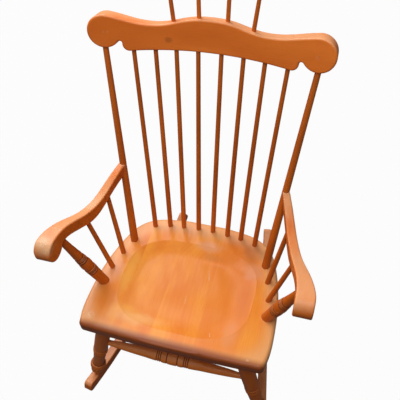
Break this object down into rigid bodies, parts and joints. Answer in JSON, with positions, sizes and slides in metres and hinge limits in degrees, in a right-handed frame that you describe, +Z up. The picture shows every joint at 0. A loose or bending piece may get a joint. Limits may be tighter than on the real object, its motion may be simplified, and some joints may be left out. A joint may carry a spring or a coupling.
{
  "type": "spindle back rocking chair",
  "caption": "Wooden armchair on rockers: spindle back under a scrolled crest rail, small head comb above it, dished plank seat, scroll arms, turned legs and stretchers.",
  "frame": {"origin": "on the floor under the middle of the box round the chair", "axes": "+Z up; -Y to the front of the chair; +X to the right, seen from the front"},
  "size_m": [0.7232, 0.7475, 1.2061],
  "materials": {
    "seat_wood": "honey-stained plank, satin lacquer",
    "rail_wood": "orange-brown stain, satin lacquer",
    "spindle_wood": "orange-brown stain, satin lacquer",
    "post_wood": "orange-brown stain, satin lacquer",
    "arm_wood": "orange-brown stain, satin lacquer, rubbed at the hands",
    "leg_wood": "darker orange-brown stain, satin lacquer",
    "stretcher_wood": "orange-brown stain, satin lacquer",
    "rocker_wood": "orange-brown stain, satin lacquer",
    "pin_wood": "end grain, satin lacquer",
    "screw_steel": "plain steel"
  },
  "bodies": {
    "root": {"seat": "seat_wood", "crest_rail": "rail_wood", "head_rail": "rail_wood", "back_spindle_1": "spindle_wood", "back_spindle_2": "spindle_wood", "back_spindle_3": "spindle_wood", "back_spindle_4": "spindle_wood", "back_spindle_5": "spindle_wood", "back_spindle_6": "spindle_wood", "back_spindle_7": "spindle_wood", "back_spindle_8": "spindle_wood", "head_spindle_1": "spindle_wood", "head_spindle_2": "spindle_wood", "head_spindle_3": "spindle_wood", "head_spindle_4": "spindle_wood", "arm_spindle_rear_left": "spindle_wood", "arm_spindle_front_left": "spindle_wood", "arm_spindle_rear_right": "spindle_wood", "arm_spindle_front_right": "spindle_wood", "back_post_left": "post_wood", "back_post_right": "post_wood", "arm_post_left": "post_wood", "arm_post_right": "post_wood", "arm_left": "arm_wood", "arm_right": "arm_wood", "front_leg_left": "leg_wood", "front_leg_right": "leg_wood", "rear_leg_left": "leg_wood", "rear_leg_right": "leg_wood", "front_stretcher": "stretcher_wood", "rear_stretcher": "stretcher_wood", "side_stretcher_left": "stretcher_wood", "side_stretcher_right": "stretcher_wood", "rocker_left": "rocker_wood", "rocker_right": "rocker_wood", "crest_pins": "pin_wood", "arm_screws": "screw_steel", "rocker_screws": "screw_steel"}
  },
  "joints": []
}
